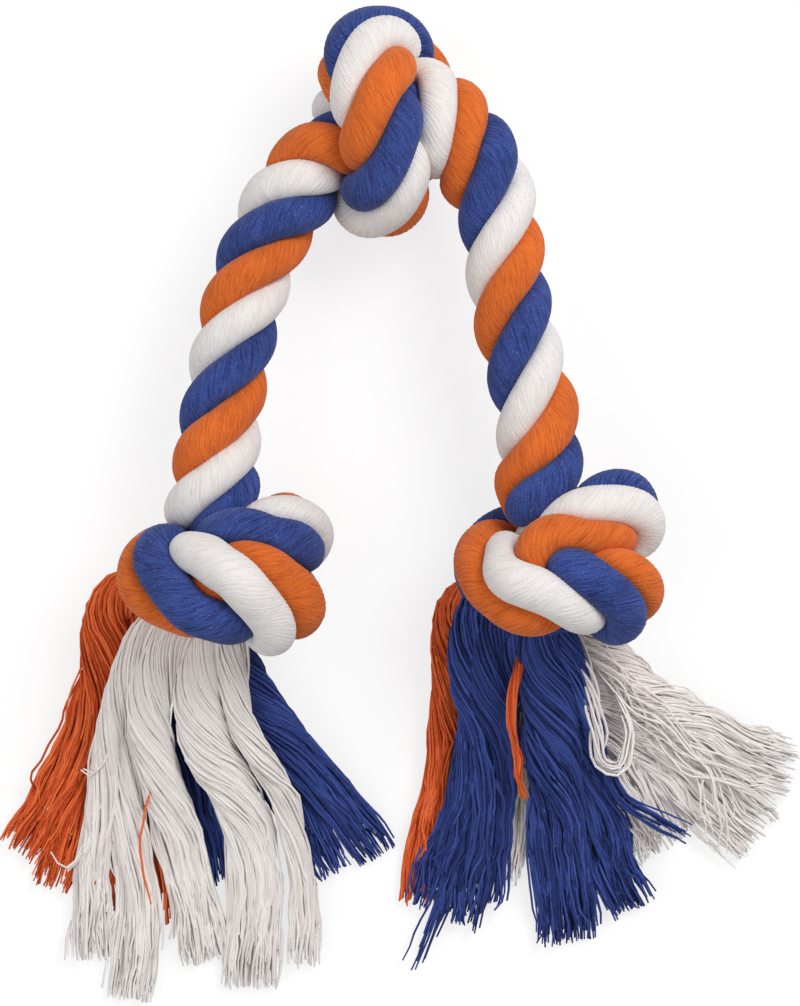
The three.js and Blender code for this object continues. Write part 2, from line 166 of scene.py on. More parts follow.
def smoothCurve(points, perSpan):  # centripetal Catmull-Rom through the points
    points = np.asarray(points, float)
    ends = np.vstack([2 * points[0] - points[1], points, 2 * points[-1] - points[-2]])
    t = (np.arange(perSpan) / perSpan)[:, None]
    rows = []
    for i in range(len(points) - 1):
        p0, p1, p2, p3 = ends[i:i + 4]
        d0, d1, d2 = [max(np.linalg.norm(b - a), 1e-8) ** 0.5 for a, b in ((p0, p1), (p1, p2), (p2, p3))]
        m1 = ((p1 - p0) / d0 - (p2 - p0) / (d0 + d1) + (p2 - p1) / d1) * d1
        m2 = ((p2 - p1) / d1 - (p3 - p1) / (d1 + d2) + (p3 - p2) / d2) * d1
        square, cube = -3 * p1 + 3 * p2 - 2 * m1 - m2, 2 * p1 - 2 * p2 + m1 + m2
        rows.append(p1 + m1 * t + square * t**2 + cube * t**3)
    return np.vstack([*rows, points[-1:]])


def arcLengths(points):
    return np.concatenate([[0], np.cumsum(np.linalg.norm(np.diff(points, axis=0), axis=1))])


def pointsAt(points, lengths, places):
    return np.stack([np.interp(places, lengths, points[:, k]) for k in range(3)], axis=1)


def unit(vectors):
    return vectors / np.maximum(np.linalg.norm(vectors, axis=-1, keepdims=True), 1e-12)


def carriedFrame(points, start, startNormal):  # tangents, and normals carried along without twist
    ahead = np.minimum(np.arange(len(points)) + 1, len(points) - 1)
    behind = np.maximum(np.arange(len(points)) - 1, 0)
    tangents = unit(points[ahead] - points[behind])
    normals = np.zeros_like(points)
    normals[start] = unit(startNormal - tangents[start] * (startNormal @ tangents[start]))
    for order in (range(start + 1, len(points)), range(start - 1, -1, -1)):
        last = start
        for i in order:
            normals[i] = unit(normals[last] - tangents[i] * (normals[last] @ tangents[i]))
            last = i
    return tangents, normals


def smoothStep(x, low, high):
    t = np.clip((x - low) / (high - low), 0, 1)
    return t * t * (3 - 2 * t)


stretches = {
    "leftTail": withHeight(rope["leftTail"]), "leftKnot": knotRoute(rope["leftKnot"])[::-1],
    "leftLeg": withHeight(rope["leftLeg"]), "middleKnot": knotRoute(rope["middleKnot"]),
    "rightLeg": withHeight(rope["rightLeg"]), "rightKnot": knotRoute(rope["rightKnot"]),
    "rightTail": withHeight(rope["rightTail"]),
}
routeCurve = smoothCurve(np.vstack(list(stretches.values())), rope["pointsPerSpan"])
routeLengths = arcLengths(routeCurve)
routeLength = routeLengths[-1]
stepCount = round(routeLength / rope["stepLength"])
arcAtStep = np.arange(stepCount + 1) * routeLength / stepCount
centres = pointsAt(routeCurve, routeLengths, arcAtStep)
firstOf = np.cumsum([0] + [len(points) for points in stretches.values()])


def spanOf(name):  # where a stretch starts and ends, as lengths along the route
    k = list(stretches).index(name)
    return tuple(routeLengths[rope["pointsPerSpan"] * point] for point in (firstOf[k], firstOf[k + 1] - 1))


def stepAtArc(arc):
    return int(math.floor(arc / routeLength * stepCount + 0.5))


leftSpan, rightSpan = spanOf("leftLeg"), spanOf("rightLeg")
leftMiddle, rightMiddle = sum(leftSpan) / 2, sum(rightSpan) / 2
ropeTangents, ropeNormals = carriedFrame(centres, stepAtArc(leftMiddle), upward)

# the middle knot's lay is set so that both legs show their strands at the right phase
rightStep = stepAtArc(rightMiddle)
rightTangent, rightNormal = ropeTangents[rightStep], ropeNormals[rightStep]
rightUp = unit(upward - rightTangent * (upward @ rightTangent))
carriedTurn = math.degrees(math.atan2(np.cross(rightNormal, rightUp) @ rightTangent, rightNormal @ rightUp))
layBetween = rope["rightLegPhase"] + carriedTurn - rope["leftLegPhase"]
legLay = 360 / rope["layPitch"]
layOnLegs = legLay * (leftSpan[1] - leftMiddle + rightMiddle - rightSpan[0])
middleLength = rightSpan[0] - leftSpan[1]
knotMiddle = (leftSpan[1] + rightSpan[0]) / 2
wholeTurns = round((layOnLegs + 360 / rope["middleKnotPitch"] * middleLength - layBetween) / 360)
middleLay = (layBetween + 360 * wholeTurns - layOnLegs) / middleLength


def turnedFromTail(arc):  # how far the lay has turned from the left tail, in degrees
    def within(low, high):
        return np.clip(arc, low, high) - low

    tail, entry = rope["tailLength"], rope["entryLength"]
    middleTurn = rope["middleKnotTurn"] / (middleLength / 2)
    return (360 / rope["leftTailPitch"] * within(0, tail)
            + 360 / rope["leftKnotPitch"] * within(tail, leftSpan[0]) + legLay * within(*leftSpan)
            + rope["leftEntryTurn"] / entry * within(leftSpan[0] - entry, leftSpan[0])
            + middleLay * within(leftSpan[1], rightSpan[0]) + legLay * within(*rightSpan)
            + middleTurn * (within(leftSpan[1], knotMiddle) - within(knotMiddle, rightSpan[0]))
            + 360 / rope["rightKnotPitch"] * within(rightSpan[1], routeLength - tail)
            + rope["rightEntryTurn"] / entry * within(rightSpan[1], rightSpan[1] + entry)
            + 360 / rope["rightTailPitch"] * within(routeLength - tail, routeLength))


def openness(arc):  # 1 on the open legs, 0 in the knots
    def along(low, high):
        return (smoothStep(arc, low, low + rope["legBlend"])
                * (1 - smoothStep(arc, high - rope["legBlend"], high)))

    return np.maximum(along(*leftSpan), along(*rightSpan))


layAngles = np.radians(rope["leftLegPhase"] + turnedFromTail(arcAtStep) - turnedFromTail(leftMiddle))
ropeSides = np.cross(ropeTangents, ropeNormals)


def laidStrand(turn):
    angles = (layAngles + turn)[:, None]
    return centres + layRadius * (ropeNormals * np.cos(angles) + ropeSides * np.sin(angles))


laid = np.stack([laidStrand(turn) for turn in np.radians([0, 120, 240])])
legSwelling = rope["strandDiameter"] - rope["squeezedThickness"]
contactRadii = rope["squeezedThickness"] / 2 + legSwelling / 2 * openness(arcAtStep)
nearAlong = round(rope["nearDiameters"] * rope["strandDiameter"] / rope["stepLength"])


def drawTight(strands):  # each strand shortens, and strands that touch push each other apart
    def onLeg(low, high):
        return (arcAtStep > low + rope["legFree"]) & (arcAtStep < high - rope["legFree"])

    count = stepCount + 1
    points = strands.reshape(-1, 3).copy()
    stepOf, strandOf = np.tile(np.arange(count), 3), np.repeat(np.arange(3), count)
    held = onLeg(*leftSpan) | onLeg(*rightSpan)
    held[:rope["heldSteps"]] = True
    held[stepCount - rope["heldSteps"] + 1:] = True
    loose = np.flatnonzero(~held[stepOf])
    radii = contactRadii[stepOf]
    for turn in range(rope["settleRounds"]):
        if turn % rope["roundsPerSearch"] == 0:
            apart = np.linalg.norm(points[:, None] - points[None], axis=2)
            close = np.triu(apart < 2 * rope["strandDiameter"], 1)
            steps = np.abs(stepOf[:, None] - stepOf[None])
            close &= ~((strandOf[:, None] == strandOf[None]) & (steps < nearAlong))
            one, other = np.nonzero(close)
        pull = rope["settlePull"] if turn < rope["settleRounds"] - rope["lastRounds"] else rope["lastPull"]
        here = points[loose]
        here = here + ((points[loose - 1] + points[loose + 1]) / 2 - here) * pull
        here = here + ((points[loose - 2] + points[loose + 2]) / 2 - here) * rope["stiffness"]
        points[loose] = here
        for _ in range(rope["pushes"]):
            between = points[one] - points[other]
            distance = np.linalg.norm(between, axis=1)
            short = radii[one] + radii[other] - distance
            hit = short > 0
            move = between[hit] * (short[hit] / 2 / np.maximum(distance[hit], 1e-9))[:, None]
            moves, hits = np.zeros_like(points), np.zeros(len(points))
            np.add.at(moves, one[hit], move)
            np.add.at(moves, other[hit], -move)
            np.add.at(hits, one[hit], 1)
            np.add.at(hits, other[hit], 1)
            moved = loose[hits[loose] > 0]
            points[moved] += moves[moved] * np.minimum(1, 2 / hits[moved])[:, None]
    return points.reshape(3, count, 3)


strandSteps = drawTight(laid)
print("rope laid and drawn tight:", stepCount, "steps,", round(routeLength), "mm")

# strand surfaces: round yarn bundles that fill the room up to their neighbours
strandLook = {
    "finePerStep": 4, "ringSpacing": 1.4, "kinkSoften": 2.05, "directions": 64, "sides": 130,
    "legDrawIn": 0.955, "legRadius": 7.05, "knotRadius": 8.7, "press": 0.1, "selfReach": 24.0,
    "softenAround": 3.0, "softenAlong": 1.8, "bendSoften": 3.4, "bendShare": 0.9, "floorGap": 0.25,
    "tailCut": 5, "tailTaper": 0.3, "taperSteps": 2, "yarns": 26, "yarnDepth": 0.1,
    "twist": -28.0,  # turns of the yarns in a metre
    "waver": 0.12, "waves": ((47, 2, 1.0), (23, -3, 0.6), (11, 7, 0.3)),  # length, turns round, share
    "lumpHeight": 0.6, "lumpSize": 9.0, "seed": 4,
}
drawIn = 1 - (1 - strandLook["legDrawIn"]) * openness(arcAtStep)
drawn = centres + (strandSteps - centres) * drawIn[:, None]


def softened(field, sigma, wrap):  # smoothed from ring to ring, or round each ring where it wraps
    reach = int(3 * sigma)
    weights = np.exp(-0.5 * (np.arange(-reach, reach + 1) / sigma) ** 2)
    weights /= weights.sum()
    axis = 1 if wrap else 0
    margins = [(0, 0), (reach, reach)] if wrap else [(reach, reach), (0, 0)]
    wider = np.pad(field, margins, "wrap" if wrap else "edge")
    return sum(w * np.take(wider, np.arange(i, i + field.shape[axis]), axis) for i, w in enumerate(weights))


def evenPath(path):  # evenly spaced ring centres without kinks, and the rope step that each lies at
    curve = smoothCurve(path, strandLook["finePerStep"])
    lengths = arcLengths(curve)
    places = np.linspace(0, lengths[-1], round(lengths[-1] / strandLook["ringSpacing"]) + 1)
    steps = np.interp(places, lengths, np.arange(len(curve)) / strandLook["finePerStep"])
    return softened(pointsAt(curve, lengths, places), strandLook["kinkSoften"], False), steps


ringPaths, ringSteps = zip(*[evenPath(path) for path in drawn])
ringCounts = [len(path) for path in ringPaths]
allRings = np.vstack(ringPaths)
ringStrand = np.repeat(np.arange(3), ringCounts)
ringPlace = np.concatenate([np.arange(count) for count in ringCounts]) * strandLook["ringSpacing"]


def strandRings(strand):
    path, steps = ringPaths[strand], ringSteps[strand]
    legShare = openness(np.interp(steps, np.arange(stepCount + 1), arcAtStep))
    outerRadii = strandLook["knotRadius"] + (strandLook["legRadius"] - strandLook["knotRadius"]) * legShare
    tangents, normals = carriedFrame(path, 0, upward)
    sides = np.cross(tangents, normals)
    bend = np.gradient(tangents, axis=0) / strandLook["ringSpacing"]
    bend = softened(bend, strandLook["bendSoften"], False)
    angles = 2 * np.pi * np.arange(strandLook["directions"]) / strandLook["directions"]
    room = np.empty((len(path), len(angles)))
    for i, point in enumerate(path):
        offsets = allRings - point
        squared = (offsets**2).sum(axis=1)
        alongSelf = np.abs(ringPlace - i * strandLook["ringSpacing"])
        near = squared < (2 * rope["squeezedWidth"]) ** 2
        near &= (ringStrand != strand) | (alongSelf >= strandLook["selfReach"])
        outward = np.outer(np.cos(angles), normals[i]) + np.outer(np.sin(angles), sides[i])
        towards = np.maximum(outward @ offsets[near].T, 1e-6)
        limit = (squared[near] / (2 * towards)).min(axis=1) + strandLook["press"] if near.any() else np.inf
        bendRadius = 1 / np.maximum(outward @ bend[i], 1e-6)
        room[i] = np.minimum(np.minimum(outerRadii[i], limit), strandLook["bendShare"] * bendRadius)
    room = softened(softened(room, strandLook["softenAround"], True), strandLook["softenAlong"], False)
    # the edges of the tube wind round it as its yarns do
    lengths = arcLengths(path)
    turns = np.arange(strandLook["sides"]) / strandLook["sides"] + strandLook["twist"] * mm * lengths[:, None]
    wound = 2 * np.pi * (turns % 1)
    turned = np.append(angles, 2 * np.pi)
    radius = np.stack([np.interp(w, turned, np.append(r, r[0])) for w, r in zip(wound, room)])
    toEnd = np.minimum(steps, stepCount - steps) - strandLook["tailCut"]
    radius *= (1 - strandLook["tailTaper"] * (1 - smoothStep(toEnd, 0, strandLook["taperSteps"])))[:, None]
    cosines, sines = np.cos(wound)[..., None], np.sin(wound)[..., None]
    rings = path[:, None] + radius[..., None] * (normals[:, None] * cosines + sides[:, None] * sines)
    rings[..., 2] = np.maximum(rings[..., 2], strandLook["floorGap"])
    return rings, lengths


# a closed tube that carries its turn, its yarns' waver and a map of the yarns
def tubeMesh(name, rings, along):
    count, sides = rings.shape[:2]
    ends = rings[[0, -1]]
    points = np.vstack([rings.reshape(-1, 3), ends.reshape(-1, 3), ends.mean(axis=1)]) * mm
    ring, corner = np.meshgrid(np.arange(count - 1), np.arange(sides), indexing="ij")
    following = (corner + 1) % sides
    quads = np.stack([ring * sides + corner, ring * sides + following,
                      (ring + 1) * sides + following, (ring + 1) * sides + corner], axis=-1).reshape(-1, 4)
    base, k = count * sides, np.arange(sides)
    middles = base + 2 * sides
    caps = [(middles, base + b, base + a) for a, b in zip(k, (k + 1) % sides)]
    caps += [(middles + 1, base + sides + a, base + sides + b) for a, b in zip(k, (k + 1) % sides)]
    mesh = bpy.data.meshes.new(name)
    mesh.from_pydata(points, [], quads.tolist() + caps)
    turn = np.concatenate([np.tile(k / sides, count + 2), [0, 0]])
    place = np.concatenate([np.repeat(along, sides), np.repeat(along[[0, -1]], sides), along[[0, -1]]])
    waver = strandLook["waver"] * sum(
        share * np.sin(2 * np.pi * (place / length + turns * turn))
        for length, turns, share in strandLook["waves"])
    for label, values in (("turn", turn), ("waver", waver)):
        mesh.attributes.new(label, "FLOAT", "POINT").data.foreach_set("value", values.astype(np.float32))
    # the map runs in yarns across and in mm along, and the caps stay at its zero
    corners = quads.reshape(-1)
    cornerTurn = np.stack([corner, corner + 1, corner + 1, corner], axis=-1).reshape(-1) / sides
    yarnMap = np.zeros((len(corners) + 3 * len(caps), 2), np.float32)
    yarnMap[:len(corners), 0] = strandLook["yarns"] * cornerTurn + waver[corners]
    yarnMap[:len(corners), 1] = place[corners]
    mesh.uv_layers.new(name="yarnMap").data.foreach_set("uv", yarnMap.reshape(-1))
    return mesh


def newTree(name, sockets):
    tree = bpy.data.node_groups.new(name, "GeometryNodeTree")
    tree.interface.new_socket("Geometry", in_out="OUTPUT", socket_type="NodeSocketGeometry")
    tree.interface.new_socket("Geometry", in_out="INPUT", socket_type="NodeSocketGeometry")
    for label, kind in sockets.items():
        tree.interface.new_socket(label, in_out="INPUT", socket_type="NodeSocket" + kind)
    return tree, addNode(tree, "NodeGroupInput").outputs


def finishTree(tree, geometry, material):
    real = addNode(tree, "GeometryNodeRealizeInstances", {"Geometry": geometry})
    smooth = addNode(tree, "GeometryNodeSetShadeSmooth", {"Geometry": real})
    painted = addNode(tree, "GeometryNodeSetMaterial", {"Geometry": smooth, "Material": material})
    addNode(tree, "NodeGroupOutput", {0: painted})


def throughTree(mesh, name, tree, values):  # the tree's result as a plain mesh at the origin
    piece = bpy.data.objects.new(name, mesh)
    scene.collection.objects.link(piece)
    modifier = piece.modifiers.new(tree.name, "NODES")
    modifier.node_group = tree
    for item in tree.interface.items_tree:
        if item.in_out == "INPUT" and item.name in values:
            modifier[item.identifier] = values[item.name]
    done = bpy.data.meshes.new_from_object(piece.evaluated_get(bpy.context.evaluated_depsgraph_get()))
    piece.modifiers.clear()
    piece.data = done
    done.name = name
    return piece


# yarns stand out as ridges that wind round the strand, on a slightly lumpy body
strandTree, given = newTree("twistedStrand", {
    "Yarns": "Float", "Yarn depth": "Float", "Lump height": "Float", "Lump size": "Float", "Seed": "Float",
    "Material": "Material"})
turn = addNode(strandTree, "GeometryNodeInputNamedAttribute", {"Name": "turn"})
waver = addNode(strandTree, "GeometryNodeInputNamedAttribute", {"Name": "waver"})
yarnPlace = addNode(strandTree, "ShaderNodeMath", {0: turn, 1: given["Yarns"], 2: waver},
                    operation="MULTIPLY_ADD")
phase = addNode(strandTree, "ShaderNodeMath", {0: yarnPlace, 1: 2 * math.pi}, operation="MULTIPLY")
wave = addNode(strandTree, "ShaderNodeMath", {0: phase}, operation="COSINE")
ridge = addNode(strandTree, "ShaderNodeMath", {0: wave, 1: given["Yarn depth"]}, operation="MULTIPLY")
where = addNode(strandTree, "GeometryNodeInputPosition")
lumpScale = addNode(strandTree, "ShaderNodeMath", {0: 1.0, 1: given["Lump size"]}, operation="DIVIDE")
lumps = addNode(strandTree, "ShaderNodeTexNoise", {
    "Vector": where, "W": given["Seed"], "Scale": lumpScale, "Detail": 2.0}, noise_dimensions="4D")
centred = addNode(strandTree, "ShaderNodeMath", {0: lumps, 1: 0.5}, operation="SUBTRACT")
raised = addNode(strandTree, "ShaderNodeMath", {0: centred, 1: given["Lump height"], 2: ridge},
                 operation="MULTIPLY_ADD")
normal = addNode(strandTree, "GeometryNodeInputNormal")
lift = addNode(strandTree, "ShaderNodeVectorMath", {0: normal, "Scale": raised}, operation="SCALE")
moved = addNode(strandTree, "GeometryNodeSetPosition", {"Geometry": given["Geometry"], "Offset": lift})
finishTree(strandTree, moved, given["Material"])

# cotton yarn, dyed blue and orange, and undyed: matt and slightly furry. The groove colour is a painted shade
# for between the yarns
cottonColours = {
    "blue": {"lit": "#384b8d", "grooveShade": "#1e2960", "fleck": "#7d8bbd", "grain": 0.8,
             "loose": "#465ba8", "looseDark": "#121a44", "looseSheen": "#7d8bbd"},
    "orange": {"lit": "#de6e2c", "grooveShade": "#bd5220", "fleck": "#e99a64", "grain": 0.3,
               "loose": "#ff8048", "looseDark": "#b03712", "looseSheen": "#ff8048"},
    "white": {"lit": "#eee9e6", "grooveShade": "#ded9d5", "fleck": "#bdb5ac", "grain": 0.12,
              "loose": "#fcf7f4", "looseDark": "#e6dfdb", "looseSheen": "#fcf7f4"},
}
# the grain's sizes in mm, with fibres coarser than real ones, so that they show
cottonGrain = {"fibre": 0.5, "fleck": 1.1, "patch": 14.0, "streak": 11.0}
strandFinish = {
    "shader": {"Roughness": 0.92, "Specular IOR Level": 0.15, "Sheen Weight": 0.12, "Sheen Roughness": 0.5},
    "streaksPerYarn": 3, "streakRoughness": 0.7, "grooveShadeFrom": 0.52, "grooveShadeTo": 0.3, "grooveShadeMost": 0.9,
    "patchShare": 0.5, "streakLightShare": 0.6, "shadeFrom": 0.6, "shadeTo": 1.5,
    "fleckFrom": 0.68, "fleckTo": 0.76, "fleckMost": 0.4,
    "bumpStreaks": 1.5, "bumpStrength": 0.5, "bumpHeight": 0.3,
}


def newCotton(name, finish):
    material = bpy.data.materials.new(name)
    material.use_nodes = True
    shader = material.node_tree.nodes["Principled BSDF"]
    for socket, value in finish["shader"].items():
        shader.inputs[socket].default_value = value
    return material, material.node_tree, shader


def strandCotton(colour):  # spun and twisted: darker between the yarns by painted shade, with odd fibres of another shade
    shades, finish = cottonColours[colour], strandFinish
    material, tree, shader = newCotton(colour + "TwistedCotton", finish)
    spot = addNode(tree, "ShaderNodeTexCoord").outputs["Object"]
    yarnMap = addNode(tree, "ShaderNodeUVMap", uv_map="yarnMap")
    parts = addNode(tree, "ShaderNodeSeparateXYZ", {0: yarnMap}).outputs
    # yarns seen as uneven streaks: noise drawn out along them, wrapped round the strand without a seam; in
    # the colour they stand for painted highlight and shade
    yarnTurn = 2 * math.pi / strandLook["yarns"]
    angle = addNode(tree, "ShaderNodeMath", {0: parts[0], 1: yarnTurn}, operation="MULTIPLY")
    across = addNode(tree, "ShaderNodeMath", {0: angle}, operation="COSINE")
    deep = addNode(tree, "ShaderNodeMath", {0: angle}, operation="SINE")
    drawnOut = addNode(tree, "ShaderNodeMath", {0: parts[1], 1: yarnTurn / cottonGrain["streak"]},
                       operation="MULTIPLY")
    wrapped = addNode(tree, "ShaderNodeCombineXYZ", {0: across, 1: deep, 2: drawnOut})
    streaks = addNode(tree, "ShaderNodeTexNoise", {
        "Vector": wrapped, "Scale": finish["streaksPerYarn"] / yarnTurn, "Detail": 2.0,
        "Roughness": finish["streakRoughness"]})
    # painted shade: where the streaks run low, between the yarns, the colour turns towards the groove colour
    grooveShade = addNode(tree, "ShaderNodeMapRange", {
        "Value": streaks, "From Min": finish["grooveShadeFrom"], "From Max": finish["grooveShadeTo"],
        "To Max": finish["grooveShadeMost"]})
    fibre, patch, flecks = (
        addNode(tree, "ShaderNodeTexNoise", {
            "Vector": spot, "Scale": 1 / (cottonGrain[grain] * mm), "Detail": detail})
        for grain, detail in (("fibre", 3.0), ("patch", 2.0), ("fleck", 1.0)))
    # patch and fibre noise are the cotton's own uneven tone; the streaks' share adds painted highlight and
    # shade along the yarns
    uneven = addNode(tree, "ShaderNodeMath", {0: patch, 1: finish["patchShare"], 2: fibre},
                     operation="MULTIPLY_ADD")
    uneven = addNode(tree, "ShaderNodeMath", {0: streaks, 1: finish["streakLightShare"], 2: uneven},
                     operation="MULTIPLY_ADD")
    shade = addNode(tree, "ShaderNodeMapRange", {
        "Value": uneven, "From Min": finish["shadeFrom"], "From Max": finish["shadeTo"],
        "To Min": 1 - shades["grain"], "To Max": 1 + shades["grain"]})
    body = addNode(tree, "ShaderNodeMix", {
        0: grooveShade, 6: toLinear(shades["lit"]), 7: toLinear(shades["grooveShade"])}, data_type="RGBA").outputs[2]
    shaded = addNode(tree, "ShaderNodeVectorMath", {0: body, "Scale": shade}, operation="SCALE")
    fleckMask = addNode(tree, "ShaderNodeMapRange", {
        "Value": flecks, "From Min": finish["fleckFrom"], "From Max": finish["fleckTo"],
        "To Max": finish["fleckMost"]})
    final = addNode(tree, "ShaderNodeMix", {
        0: fleckMask, 6: shaded, 7: toLinear(shades["fleck"])}, data_type="RGBA").outputs[2]
    tree.links.new(final, shader.inputs["Base Color"])
    rise = addNode(tree, "ShaderNodeMath", {0: streaks, 1: finish["bumpStreaks"], 2: fibre},
                   operation="MULTIPLY_ADD")
    bump = addNode(tree, "ShaderNodeBump", {
        "Strength": finish["bumpStrength"], "Distance": finish["bumpHeight"] * mm, "Height": rise})
    tree.links.new(bump.outputs[0], shader.inputs["Normal"])
    return material


pieces = {}
pieceCuts = {
    "leftKnotAndLeg": (strandLook["tailCut"], stepAtArc(leftSpan[1])),
    "middleKnot": (stepAtArc(leftSpan[1]), stepAtArc(rightSpan[0])),
    "rightKnotAndLeg": (stepAtArc(rightSpan[0]), stepCount - strandLook["tailCut"]),
}
for number, colour in enumerate(colourOrder):
    cotton = strandCotton(colour)
    rings, lengths = strandRings(number)
    for stretch, cuts in pieceCuts.items():
        low, high = np.searchsorted(ringSteps[number], cuts)
        name = f"{stretch}_{colour}"
        mesh = tubeMesh(name, rings[low:high + 1], lengths[low:high + 1])
        pieces[name] = throughTree(mesh, name, strandTree, {
            "Yarns": float(strandLook["yarns"]), "Yarn depth": strandLook["yarnDepth"] * mm / 2,
            "Lump height": strandLook["lumpHeight"] * mm, "Lump size": strandLook["lumpSize"] * mm,
            "Seed": float(strandLook["seed"] + number), "Material": cotton})
    print(colour, "strand made,", round(lengths[-1]), "mm long")

for colour in colourOrder:
    left, middle, right = (pieces[f"{s}_{colour}"] for s in pieceCuts)
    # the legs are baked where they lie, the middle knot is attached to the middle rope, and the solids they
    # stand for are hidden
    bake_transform(left)
    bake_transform(right)
    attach(middle, "middle_rope")
    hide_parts(f"left_knot_{colour}", f"left_bend_{colour}")
    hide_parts(f"middle_knot_{colour}")
    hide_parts(f"right_knot_{colour}", f"right_bend_{colour}")

